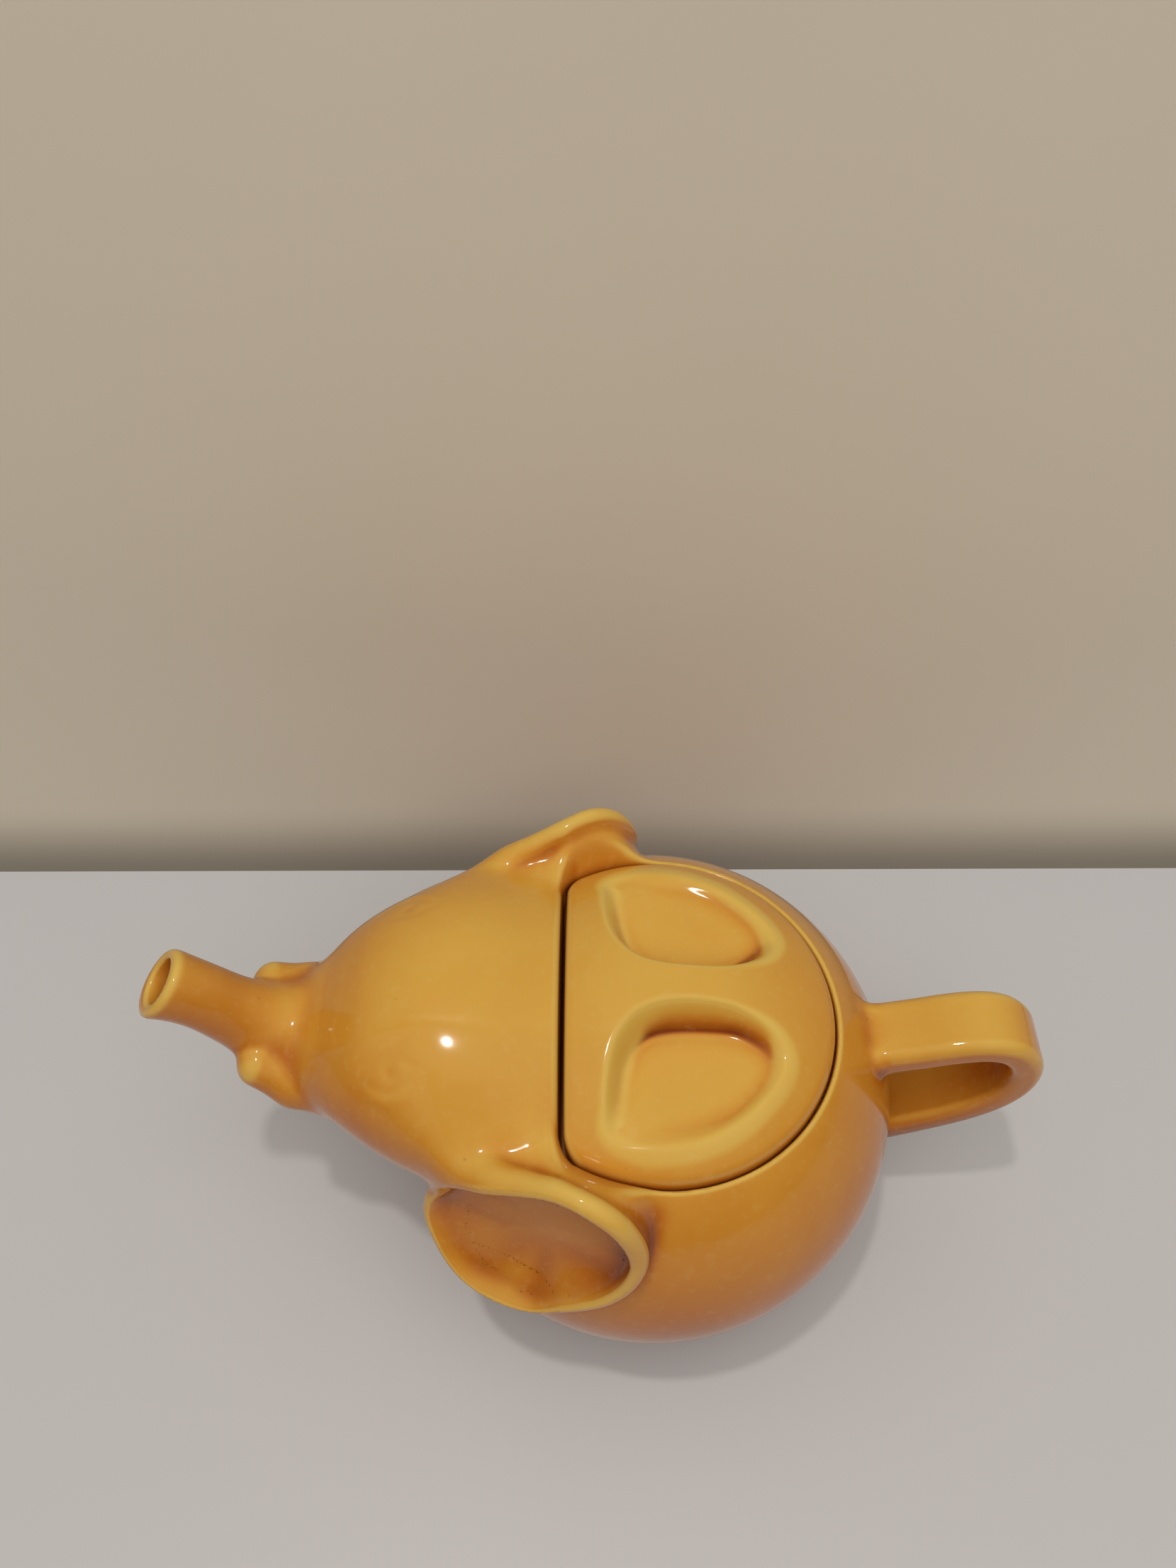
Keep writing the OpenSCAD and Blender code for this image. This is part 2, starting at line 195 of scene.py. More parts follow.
# =====================================================================
# Ears: a dish with a rolled rim, worked out for +Y and mirrored
# =====================================================================
# x, y, z along the crest of the rim
EAR_CREST = [
    [-52.5, 36.5, 92], [-50, 37.5, 102], [-41, 41.4, 110.3], [-30.6, 44.3, 115.1],
    [-20.6, 47.9, 118.2], [-12.6, 52.2, 117.3], [-6.2, 55.6, 110.8], [-2.9, 58.4, 98.5],
    [-4.8, 61.3, 89.5], [-10.4, 63.2, 80.5], [-18.5, 63.1, 71], [-29.5, 60.9, 61.5],
    [-40.3, 57, 60.5], [-49, 51.5, 61.3], [-54.2, 46, 66.5], [-56, 41.5, 74],
    [-55, 38.0, 82]]
EAR_MID = np.array([-28.0, 54.0, 86.0])
EAR_OUT = unit([-0.405, 0.872, 0.27])                       # faces out of the dish
EAR_REAR = unit(np.array([1.0, 0, 0]) - EAR_OUT[0] * EAR_OUT)
EAR_UP = np.cross(EAR_REAR, EAR_OUT)
ROLL, DISH = 2.9, 4.6                   # radius of the rim, depth of the dish
FOLD_L = 21.0                           # how far the rim's fold runs back
TURN_STEPS = 1440
TURN = np.linspace(0, 2 * np.pi, TURN_STEPS + 1)


def blur_turn(values, reach):
    """Blurs a closed table over TURN."""
    padded = np.concatenate([values[-reach - 1:-1], values, values[1:reach + 1]])
    weight = np.hanning(2 * reach + 1)
    return np.convolve(padded, weight / weight.sum(), "valid")


def around(*keys):
    """A smooth closed curve over TURN through (degrees, value) keys in rising order."""
    keys = np.array(keys, float)
    keys = np.concatenate([keys[-2:] - [360, 0], keys, keys[:2] + [360, 0]])
    turn = np.degrees(TURN) % 360
    i = np.clip(np.searchsorted(keys[:, 0], turn, side="right") - 1, 1, len(keys) - 3)
    part = (turn - keys[i, 0]) / (keys[i + 1, 0] - keys[i, 0])
    return cubic(*(keys[i + k, 1] for k in (-1, 0, 1, 2)), part)


def ear_tables():
    """Rows over TURN: 0 degrees is the rear edge, 90 the top, 180 the cheek, 270 the lobe."""
    crest = catmull(EAR_CREST, 24, True) - EAR_MID
    rear, up = crest @ EAR_REAR, crest @ EAR_UP
    angle = np.unwrap(np.arctan2(up, rear)) % (2 * np.pi)
    order = np.argsort(angle)

    def spread(values, reach):
        values = np.interp(TURN, angle[order], values[order], period=2 * np.pi)
        return blur_turn(values, reach)

    trim = around((0, -0.5), (30, 0.0), (60, 2.0), (90, 2.9), (140, 2.9), (165, 1.2),
                  (183, -1.3), (205, 0.8), (240, 1.9), (270, 2.4), (310, 1.3))
    radius = spread(np.hypot(rear, up), 12) - blur_turn(trim, 20)
    offset = spread(crest @ EAR_OUT, 36)
    # how far the rim stands over the dish
    rim = blur_turn(around((0, 0.75), (45, 1.0), (90, 1.0), (130, 0.85), (165, 0.3), (200, 0.0),
                           (250, 0.0), (290, 0.15), (330, 0.45)), 36)
    # how steeply the ear's back falls away, and how much the fold thickens on the way
    tilt = blur_turn(np.radians(around((0, 64), (40, 48), (90, 35), (140, 42), (200, 66),
                                       (270, 74), (320, 70))), 36)
    wedge = blur_turn(around((0, 0.6), (35, 1.2), (62, 4.6), (90, 6.0), (130, 6.0), (165, 3.0),
                             (200, 0.8), (270, 0.8), (320, 0.6)), 36)
    # the middle of the dish follows blurred copies of the offset and the rim
    soft_offset = blur_turn(blur_turn(offset, 150), 150)
    return np.stack([radius, offset, rim, tilt, wedge, soft_offset, blur_turn(rim, 110)])


EAR_TABLES = ear_tables()


def ear_fields(x, y, z):
    """(ear distance, distance of the dish carved from it)."""
    ear, dish = np.full_like(x, FAR), np.full_like(x, FAR)
    side = np.abs(y)
    near = (x < 20) & (x > -76) & (side > 18) & (z > 40) & (z < 132)
    if near.any():
        point = np.stack([x[near], side[near], z[near]], 1) - EAR_MID
        rear, up, out = point @ EAR_REAR, point @ EAR_UP, point @ EAR_OUT
        reach = np.hypot(rear, up)
        turn = (np.arctan2(up, rear) % (2 * np.pi)) / (2 * np.pi) * TURN_STEPS
        i = np.minimum(turn.astype(np.int32), TURN_STEPS - 1)
        part = turn - i
        radius, offset, rim, tilt, wedge, mid_offset, mid_rim = (
            EAR_TABLES[:, i] * (1 - part) + EAR_TABLES[:, i + 1] * part)
        edge_r = radius - ROLL
        # the rim is a fat fold that runs back into the head and belly
        fold_a, fold_b = reach - edge_r, out - offset
        dir_a, dir_b = -np.cos(tilt), -np.sin(tilt)
        t = np.clip((fold_a * dir_a + fold_b * dir_b) / FOLD_L, 0, 1)
        fold = np.hypot(fold_a - t * FOLD_L * dir_a, fold_b - t * FOLD_L * dir_b)
        fold = fold - (ROLL + wedge * t ** 1.6)
        # the dish's floor rises from the middle to the edge
        share = np.clip(reach / edge_r, 0, 1.15)
        outward = np.clip(share, 0, 1) ** 4.5
        mid_offset = mid_offset + (offset - mid_offset) * outward
        mid_rim = mid_rim + (rim - mid_rim) * outward
        edge = mid_offset + (ROLL - 0.5) * (1 - mid_rim) - 0.25 * ROLL * mid_rim
        bowl = share ** (2.4 + 0.6 * mid_rim)
        floor = edge * bowl - DISH * 1.15 * (1 - bowl * (1 - mid_rim) - bowl * bowl * mid_rim)
        front = out - floor
        plate = smax(np.maximum(reach - edge_r, -24 - out), front, 1.0)
        ear[near] = smin(fold, plate, 2.5)
        dish[near] = smax(-front, reach - (edge_r - ROLL * (0.05 + 0.45 * rim)), 3.0)
    return ear, dish


# =====================================================================
# Handle, tusks and eyes
# =====================================================================
# x, z along the middle of the handle, a strap bent in the XZ plane
STRAP = catmull([
    [50, 84.5], [60, 87], [69, 89.6], [77, 92.3], [84.5, 93.6], [90.5, 92.2], [95.2, 87.6],
    [97.9, 81], [98, 73.5], [95.8, 66.5], [91.5, 60], [85, 54], [77, 48.5], [68, 43],
    [60, 38.5], [50, 33.5]], 12)
STRAP_W, STRAP_T, STRAP_CORNER = 9.0, 4.6, 3.5      # half width, half thickness, corner radius


def strap_distance(x, z):
    """Distance in the XZ plane to the strap's middle line."""
    gap = (x[:, None] - STRAP[:, 0]) ** 2 + (z[:, None] - STRAP[:, 1]) ** 2
    nearest = gap.argmin(1)
    best = np.full(x.shape, 1e9)
    for k in (-1, 0):
        i = np.clip(nearest + k, 0, len(STRAP) - 2)
        start_x, start_z = STRAP[i].T
        run_x, run_z = (STRAP[i + 1] - STRAP[i]).T
        t = ((x - start_x) * run_x + (z - start_z) * run_z) / (run_x * run_x + run_z * run_z)
        t = np.clip(t, 0, 1)
        miss = (x - start_x - t * run_x) ** 2 + (z - start_z - t * run_z) ** 2
        best = np.minimum(best, miss)
    return np.sqrt(best)


def handle_field(x, y, z):
    handle = np.full_like(x, FAR)
    near = (x > 40) & (np.abs(y) < 22) & (z > 20) & (z < 112)
    if near.any():
        near_x, near_z = x[near], z[near]
        depth = np.empty_like(near_x)
        for part in chunks(len(near_x), 60000):
            depth[part] = strap_distance(near_x[part], near_z[part])
        wide = np.abs(y[near]) - (STRAP_W - STRAP_CORNER)
        thick = depth - (STRAP_T - STRAP_CORNER)
        handle[near] = (np.hypot(np.maximum(wide, 0), np.maximum(thick, 0))
                        + np.minimum(np.maximum(wide, thick), 0) - STRAP_CORNER)
    return handle


# x, y, z, radius along the tusk at +Y, a rounded lobe beside the trunk's root
TUSK = [(-76, 14.5, 87, 7.0), (-90, 13.4, 91, 6.0), (-98.4, 11.9, 97.2, 5.1)]


def cone_cap(x, y, z, start, stop):
    """Distance to a round-ended cone between two (x, y, z, radius) points."""
    x, y, z = x - start[0], y - start[1], z - start[2]
    run_x, run_y, run_z, grow = (b - a for a, b in zip(start, stop))
    length2 = run_x * run_x + run_y * run_y + run_z * run_z
    t = np.clip((x * run_x + y * run_y + z * run_z) / length2, 0, 1)
    miss = np.sqrt((x - t * run_x) ** 2 + (y - t * run_y) ** 2 + (z - t * run_z) ** 2)
    return miss - (start[3] + grow * t)


def tusk_field(x, y, z):
    tusk = np.full_like(x, FAR)
    side = np.abs(y)
    near = (x < -60) & (side < 40) & (z > 60) & (z < 115)
    if near.any():
        point = x[near], side[near], z[near]
        tusk[near] = smin(cone_cap(*point, *TUSK[:2]), cone_cap(*point, *TUSK[1:]), 4.0)
    return tusk


EYE = np.array([-62.2, 22.6, 115.2])
EYE_REACH = 14.0
EYE_LONG = unit([-0.94, -0.04, -0.33])
_out = np.array([-0.32, 0.47, 0.82])
EYE_OUT = unit(_out - (_out @ EYE_LONG) * EYE_LONG)
EYE_CROSS = np.cross(EYE_OUT, EYE_LONG)


def eye_relief(x, y, z):
    """A faint almond drawn in the clay each side of the head: below 0 is raised."""
    relief = np.zeros_like(x)
    side = np.abs(y)
    near = (x - EYE[0]) ** 2 + (side - EYE[1]) ** 2 + (z - EYE[2]) ** 2 < EYE_REACH ** 2
    if near.any():
        point = np.stack([x[near], side[near], z[near]], 1) - EYE
        along, up = point @ EYE_LONG, point @ EYE_CROSS
        t = np.clip(along / 8.4, -1, 1)
        top, low = 3.6 * (1 - t * t), -3.8 * (1 - t * t)
        fade = ease(13.5, 9.5, np.sqrt((point ** 2).sum(1)))
        # two grooves along the almond's edges, a raised fold below, and a ball with a pit
        line = np.exp(-((up - top) / 1.5) ** 2) * 0.13 + np.exp(-((up - low) / 1.4) ** 2) * 0.09
        line *= ease(9.4, 4.0, np.abs(along))
        fold = -np.exp(-((up - low + 2.3) / 2.2) ** 2) * 0.24 * ease(9.0, 1.5, np.abs(along))
        ball = (-0.10 * np.exp(-(along * along + up * up) / 14.0)
                + 0.34 * np.exp(-((along + 0.3) ** 2 + (up - 0.6) ** 2) / 4.2))
        relief[near] = fade * (line + fold + ball)
    return relief


# =====================================================================
# The whole pot
# =====================================================================
def outer_field(x, y, z):
    """The pot's outside before it is hollowed, the head's hollow, and the parts' own fields."""
    body = smax(belly_field(x, y, z), 4.4 - z, 3.0)
    ring = np.hypot(np.maximum(np.abs(np.hypot(x, y) - FOOT_R) - 2.0, 0),
                    np.maximum(np.abs(z - 4.0) - 3.0, 0)) - 1.0
    body = smin(body, ring, 2.2)
    head, head_hollow = head_fields(x, y, z)
    trunk_body = smin(body, head, 2.0 + 6.0 * ease(112.0, 92.0, z))
    handle = handle_field(x, y, z)
    trunk_body = smin(trunk_body, handle, 5.5)
    ear, dish = ear_fields(x, y, z)
    # the ears' blend is wider high up and towards the cheek
    blend = (4.5 + 6.5 * ease(92.0, 108.0, z)
             + 6.0 * ease(-42.0, -54.0, x) * ease(78.0, 96.0, z)
             + 8.0 * ease(98.0, 112.0, z) * ease(-20.0, -30.0, x))
    outer = smin(trunk_body, ear, blend)
    # the ears' roots come down to the lid's edge as a ramp, not as a step
    off = lid_outline(x, y, MOUTH_INSET)
    ramp = smax(outer, trunk_body - 0.5 - 1.9 * np.maximum(off, -1.0), 4.5)
    outer = np.where(z > 88, ramp, outer)
    outer = smax(outer, -dish, 2.4)
    tusk = tusk_field(x, y, z)
    outer = smin(outer, tusk, 6.5) + eye_relief(x, y, z)
    return outer, head_hollow, (body, head, handle, ear, tusk)


def pot_field(x, y, z):
    outer, head_hollow, _ = outer_field(x, y, z)
    # slip-cast wall: the hollow follows the outside, and the trunk is bored through
    hollow = smin(np.maximum(outer + WALL, 10.4 - z), head_hollow, 4.0)
    hollow = np.where(x > 63.5, 50.0, hollow)
    hollow = np.where(x > CHAMBER_X, smax(hollow, z - 92.5, 1.0), hollow)
    least = outer + 3.0 * ease(-92.0, -84.0, x)
    hollow = np.where(x > -92.0, np.maximum(hollow, least), hollow)
    pot = smax(outer, -hollow, 1.6)
    # the wall beside the lid's straight edge, and the ledge it rests on
    wall = np.maximum.reduce([CHAMBER_X - x, x + 17.0, LEDGE_BASE - z, outer + 0.6])
    ledge = np.maximum.reduce([z - SEAT, LEDGE_BASE - z, outer + 0.6, CHAMBER_X - x])
    pot = np.minimum(pot, np.minimum(wall, ledge))
    mouth = np.maximum(lid_outline(x, y, MOUTH_INSET), SEAT - z)
    pot = smax(pot, -mouth, 2.2)
    opening = np.maximum(lid_outline(x, y, OPENING_INSET, 3.0), 86.0 - z)
    return smax(pot, -opening, 1.0)


# a casting's number is its place here, from 1; 0 is air
CASTINGS = ["belly", "head_shell", "trunk_spout", "ear_left", "ear_right", "tusk_left",
            "tusk_right", "handle", "foot_ring", "lid_gallery", "shoulder"]
LID_CASTINGS = ["lid_dome", "lid_collar"]


def pot_labels(x, y, z):
    """The number of the casting each point of the pot belongs to."""
    outer, _, (body, head, handle, ear, tusk) = outer_field(x, y, z)
    label = np.full(x.shape, 1, np.int8)

    def mark(name, where):
        label[where] = CASTINGS.index(name) + 1

    mark("shoulder", z > 72.0)
    radius = np.hypot(x, y)
    mark("foot_ring", (radius > FOOT_R - 4.5) & (radius < FOOT_R + 4.5) & (z < 5.2))
    is_head = (head < body) & (x < -20) & (z > 62)
    mark("head_shell", is_head)
    mark("trunk_spout", is_head & ((x + 88.4) * 0.951 - (z - 93.0) * 0.309 < 0))
    mark("handle", (handle < body) & (x > 40))
    near = np.minimum(body, head)
    is_ear = (ear < near) & (near > 0.4) & (x < 14) & (x > -70) & (np.abs(y) > 24)
    mark("ear_left", is_ear & (y < 0))
    mark("ear_right", is_ear & (y > 0))
    is_tusk = (tusk < near) & (near > 0.3) & (x < -62)
    mark("tusk_left", is_tusk & (y < 0))
    mark("tusk_right", is_tusk & (y > 0))
    mark("lid_gallery", (outer < -3.6) & (z > 91.2) & (x > -27.7)
         & (lid_outline(x, y, (-1.5, -8.0)) < 0))
    return label


# =====================================================================
# Lid: a piece of the dome with a scoop each side
# =====================================================================
# x, y around the scoop at +Y
SCOOP = catmull([
    [-12, 33.5], [-11.6, 30.2], [-10.6, 22.6], [-9.4, 17.2], [-7.4, 12.8], [-3.8, 8.9],
    [0.8, 6.9], [6.1, 6.1], [12.6, 6.0], [18.5, 6.6], [24.5, 8.0], [28.8, 10.1], [31.5, 13.4],
    [32.2, 17.2], [30.3, 21.9], [26.4, 26.7], [20.2, 32.5], [14.3, 35.9], [7.3, 38.2],
    [-0.7, 39.0], [-6.9, 37.8], [-10.4, 35.9]], 6, True)
# the scoops' tables lie on a grid from this corner
GRID_X, GRID_Y, GRID_STEP = -26, -4, 0.4
BLUR, BLUR_CELLS = 0.8, 8


def outline_distance(x, y, outline):
    """Distance to a closed polygon, negative inside."""
    out = np.empty_like(x)
    start_x, start_y = outline.T
    ends = np.roll(outline, -1, 0)
    run_x, run_y = (ends - outline).T
    length2 = run_x ** 2 + run_y ** 2
    for part in chunks(len(x), 20000):
        here_x, here_y = x[part, None], y[part, None]
        off_x, off_y = here_x - start_x, here_y - start_y
        t = np.clip((off_x * run_x + off_y * run_y) / length2, 0, 1)
        gap2 = (off_x - t * run_x) ** 2 + (off_y - t * run_y) ** 2
        spans = (start_y > here_y) != (ends[:, 1] > here_y)
        rise = np.where(run_y == 0, 1e-9, run_y)
        cross = spans & (here_x < run_x * (here_y - start_y) / rise + start_x)
        inside = cross.sum(1) % 2 == 1
        out[part] = np.sqrt(gap2.min(1)) * np.where(inside, -1, 1)
    return out


def scoop_tables():
    """Depth inside the scoop's outline, and the share of its full depth, blurred of creases."""
    x, y = np.meshgrid(np.arange(GRID_X, 50.01, GRID_STEP),
                       np.arange(GRID_Y, 48.01, GRID_STEP), indexing="ij")
    inset = -outline_distance(x.ravel(), np.abs(y).ravel(), SCOOP).reshape(x.shape)
    slope_w = 2.0 + 4.5 * ease(20.0, 34.0, y) * ease(-10.0, 2.0, x) + 3.5 * ease(18.0, 30.0, x)
    t = np.clip((inset + 1.2) / (slope_w + 1.2), 0, 1)
    share = t * t * t * (t * (6 * t - 15) + 10)
    cells = np.arange(-BLUR_CELLS, BLUR_CELLS + 1)
    kernel = np.exp(-0.5 * (cells * GRID_STEP / BLUR) ** 2)
    kernel /= kernel.sum()

    def blur(row):
        return np.convolve(np.pad(row, BLUR_CELLS, mode="edge"), kernel, "valid")

    for axis in (0, 1):
        share = np.apply_along_axis(blur, axis, share)
    return inset, share


SCOOP_INSET, SCOOP_SHARE = scoop_tables()


def spline_weights(t):
    rest = 1 - t
    return (rest * rest * rest / 6, (3 * t * t * t - 6 * t * t + 4) / 6,
            (3 * rest * rest * rest - 6 * rest * rest + 4) / 6, t * t * t / 6)


def look_up(table, x, y):
    """A scoop table at any place, through a cubic B-spline, mirrored in y."""
    at_x = np.clip((x - GRID_X) / GRID_STEP, 1, table.shape[0] - 3.001)
    at_y = np.clip((np.abs(y) - GRID_Y) / GRID_STEP, 1, table.shape[1] - 3.001)
    i, j = at_x.astype(np.int32), at_y.astype(np.int32)
    weight_x, weight_y = spline_weights(at_x - i), spline_weights(at_y - j)
    out = 0.0
    for m in range(4):
        for n in range(4):
            out = out + weight_x[m] * weight_y[n] * table[i + m - 1, j + n - 1]
    return out


def lid_top(x, y):
    inside = 1 - (x * x + y * y) / (BELLY_R + LID_PROUD) ** 2
    dome = BELLY_Z + (BELLY_H + LID_PROUD) * np.sqrt(np.maximum(inside, 0.02))
    side = np.sqrt(y * y + 4.0)
    floor = (106.8 + 0.0022 * ((x - 8.0) ** 2 + (side - 22.0) ** 2)
             + 1.6 * ease(18.0, -13.0, x))
    return dome + smin(floor - dome, 0.0, 7.0) * look_up(SCOOP_SHARE, x, y)


def lid_field(x, y, z):
    e = 0.35
    slope_x = (lid_top(x + e, y) - lid_top(x - e, y)) / (2 * e)
    slope_y = (lid_top(x, y + e) - lid_top(x, y - e)) / (2 * e)
    above = (z - lid_top(x, y)) / np.sqrt(1 + slope_x * slope_x + slope_y * slope_y)
    lid = smax(smax(above, lid_outline(x, y), 2.8), SEAT - z, 0.8)
    # hollow under the dome and the scoops
    under = np.maximum(above + 4.2, lid_outline(x, y, COLLAR_INNER, 3.0))
    under = smax(under, 90 - z, 1.0)
    collar = np.maximum.reduce([lid_outline(x, y, COLLAR_OUTER, 3.5),
                                -lid_outline(x, y, COLLAR_INNER, 2.5), 88.0 - z, z - 97.0])
    return smax(smin(lid, collar, 0.8), -under, 1.2)


def lid_labels(x, y, z):
    """2 for the collar, 1 for the dome."""
    collar = np.maximum.reduce([lid_outline(x, y, (5.6, 4.8), 3.5),
                                -lid_outline(x, y, (10.0, 9.2), 2.5), z - 96.4])
    return np.where(collar < 0, 2, 1).astype(np.int8)


# =====================================================================
# Meshing: surface nets on a narrow band, then the vertices are put
# exactly on the surface
# =====================================================================
CORNERS = [(i, j, k) for i in (0, 1) for j in (0, 1) for k in (0, 1)]


def sample(field, low, high, step, block=8):
    """The field on a grid, worked out only in the blocks near the surface."""
    count = np.ceil((high - low) / (step * block)).astype(int)
    mids = [low[k] + step * block * (np.arange(count[k]) + 0.5) for k in range(3)]
    mids = np.meshgrid(*mids, indexing="ij")
    centre = field(*(axis.ravel() for axis in mids)).reshape(count)
    reach = step * block * math.sqrt(3) / 2 * 1.5 + 2.5
    values = np.where(centre < 0, -9.0, 9.0).astype(np.float32)
    for axis in range(3):
        values = np.repeat(values, block, axis)
    values = np.pad(values, ((0, 1),) * 3, mode="edge")
    active = np.argwhere(np.abs(centre) < reach)
    offsets = np.meshgrid(*[np.arange(block + 1)] * 3, indexing="ij")
    offsets = np.stack([axis.ravel() for axis in offsets], 1)
    for part in chunks(len(active), 500):
        cell = (active[part, None, :] * block + offsets[None]).reshape(-1, 3)
        values[tuple(cell.T)] = field(*(low + cell * step).T)
    return values


def label_grid(values, labels, low, step):
    """The casting number at each grid point, 0 in air."""
    grid = np.zeros(values.shape, np.int8)
    solid = np.argwhere(values < 0)
    for part in chunks(len(solid), 300000):
        grid[tuple(solid[part].T)] = labels(*(low + solid[part] * step).T)
    # a layer one cell thick between air and another casting goes to that casting,
    # so no two faces coincide
    for _ in range(3):
        for axis in range(3):
            view = np.moveaxis(grid, axis, 0)
            prev, here, after = view[:-2], view[1:-1], view[2:]
            slim = (here > 0) & (((prev == 0) & (after > 0) & (after != here))
                                 | ((after == 0) & (prev > 0) & (prev != here)))
            view[1:-1] = np.where(slim, np.maximum(prev, after), here)
    return grid


def net_vertices(values, grid, cells):
    """Each cell's vertex in cell units, and whether it lies on the skin."""
    # sums and counts of the edge crossings, into air and into another casting
    air_sum, joint_sum = np.zeros((len(cells), 3)), np.zeros((len(cells), 3))
    air_count, joint_count = np.zeros(len(cells)), np.zeros(len(cells))
    for corner in CORNERS:
        for axis in range(3):
            if corner[axis] == 1:
                continue
            end = list(corner)
            end[axis] = 1
            here, there = tuple((cells + corner).T), tuple((cells + end).T)
            val_a, val_b, lab_a, lab_b = values[here], values[there], grid[here], grid[there]
            change = lab_a != lab_b
            air = change & ((lab_a == 0) | (lab_b == 0))
            point = np.array(corner, float)[None].repeat(len(cells), 0)
            point[:, axis] += np.where(air, val_a / np.where(air, val_a - val_b, 1), 0)
            air_sum[air] += point[air]
            air_count[air] += 1
            joint = change & ~air
            point[:, axis] = 0.5
            joint_sum[joint] += point[joint]
            joint_count[joint] += 1
    skin = air_count > 0
    place = np.where(skin[:, None], air_sum / np.maximum(air_count, 1)[:, None],
                     joint_sum / np.maximum(joint_count, 1)[:, None])
    return place, skin


def net_quads(grid, vertex_id):
    """Quads, the casting on each quad's own side, and the one on its other side."""
    quads, own, other = [], [], []
    for axis in range(3):
        step_1, step_2 = (axis + 1) % 3, (axis + 2) % 3
        view = np.moveaxis(grid, axis, 0)
        change = np.moveaxis(view[:-1] != view[1:], 0, axis)
        start = np.argwhere(change)
        stop = start.copy()
        stop[:, axis] += 1
        lab_a, lab_b = grid[tuple(start.T)], grid[tuple(stop.T)]
        quad = []
        for back_1, back_2 in ((0, 0), (1, 0), (1, 1), (0, 1)):
            cell = start.copy()
            cell[:, step_1] -= back_1
            cell[:, step_2] -= back_2
            quad.append(vertex_id[tuple(cell.T)])
        quad = np.stack(quad, 1)
        for mine, theirs, face in ((lab_a, lab_b, quad), (lab_b, lab_a, quad[:, ::-1])):
            solid = mine > 0
            quads.append(face[solid])
            own.append(mine[solid])
            other.append(theirs[solid])
    return np.concatenate(quads), np.concatenate(own), np.concatenate(other)


def gradient(field, verts, e=0.12):
    grad = np.empty_like(verts)
    for k in range(3):
        shift = np.zeros(3)
        shift[k] = e
        grad[:, k] = (field(*(verts + shift).T) - field(*(verts - shift).T)) / (2 * e)
    return grad


def settle(field, verts, quads, skin, step):
    """Evens the quads out along the surface and puts each vertex back on it."""
    edges = np.concatenate([quads[:, [k, (k + 1) % 4]] for k in range(4)])
    edges = np.concatenate([edges, edges[:, ::-1]])
    edges = edges[skin[edges[:, 0]] & skin[edges[:, 1]]]
    count = len(verts)
    degree = np.maximum(np.bincount(edges[:, 0], minlength=count), 1).astype(float)
    verts = verts.copy()
    for turn in range(SETTLE_ROUNDS + 1):
        point = verts[skin]
        grad = gradient(field, point)
        grad2 = (grad ** 2).sum(1, keepdims=True)
        if turn < SETTLE_ROUNDS:
            mean = np.stack([np.bincount(edges[:, 0], verts[edges[:, 1], k], minlength=count)
                             for k in range(3)], 1) / degree[:, None]
            normal = grad / np.sqrt(np.maximum(grad2, 1e-9))
            move = mean[skin] - point
            move -= (move * normal).sum(1, keepdims=True) * normal
            point = point + 0.5 * move
        shift = np.clip(field(*point.T) / np.maximum(grad2[:, 0], 0.15), -step, step)
        verts[skin] = point - shift[:, None] * grad
    # joints between castings stay under the surface
    point = verts[~skin]
    if len(point):
        value, grad = field(*point.T), gradient(field, point)
        grad2 = np.maximum((grad ** 2).sum(1), 0.3)
        shift = np.clip(value + 0.4 * step, 0, 0.8 * step) / grad2
        verts[~skin] = point - shift[:, None] * grad
    normals = np.zeros_like(verts)
    normals[skin] = gradient(field, verts[skin])
    normals /= np.maximum(np.linalg.norm(normals, axis=1, keepdims=True), 1e-6)
    return verts, normals


class Net:
    """The mesh of a labelled solid. Every casting is closed, and neighbours share vertices."""

    def __init__(self, field, labels, low, high, step):
        low, high = np.asarray(low, float), np.asarray(high, float)
        values = sample(field, low, high, step)
        grid = label_grid(values, labels, low, step)
        size = np.array(grid.shape) - 1
        mixed = np.zeros(size, bool)
        for corner in CORNERS:
            shifted = grid[tuple(slice(c, c + s) for c, s in zip(corner, size))]
            mixed |= shifted != grid[:-1, :-1, :-1]
        cells = np.argwhere(mixed)
        vertex_id = np.full(mixed.shape, -1, np.int32)
        vertex_id[mixed] = np.arange(len(cells))
        place, self.skin = net_vertices(values, grid, cells)
        self.quads, self.own, self.other = net_quads(grid, vertex_id)
        self.verts, self.normals = settle(field, low + (cells + place) * step,
                                          self.quads, self.skin, step)
        self.field = field

    def bend(self, reach):
        """How far the skin bends within reach: above 0 in a crease, below 0 on a crest."""
        verts, normals = self.verts[self.skin], self.normals[self.skin]
        side = np.cross(normals, np.array([0.31, 0.52, 0.79]))
        side /= np.linalg.norm(side, axis=1, keepdims=True)
        other = np.cross(normals, side)
        total = np.zeros(len(verts))
        for k in range(6):
            turn = math.pi * k / 3
            point = verts + reach * (math.cos(turn) * side + math.sin(turn) * other)
            total += self.field(*point.T)
        out = np.zeros(len(self.verts))
        out[self.skin] = -total / 6
        return out

    def glaze_darkening(self):
        """How far glaze runs off: 0 where the surface is level, towards 1 where it is steep."""
        return 1 - np.exp(-2.6 * np.maximum(1 - self.normals[:, 2], 0))


# =====================================================================
# Pieces
# =====================================================================
SLOTS = {"foot_ring": "bare_foot", "lid_gallery": "inner_glaze", "lid_collar": "inner_glaze"}


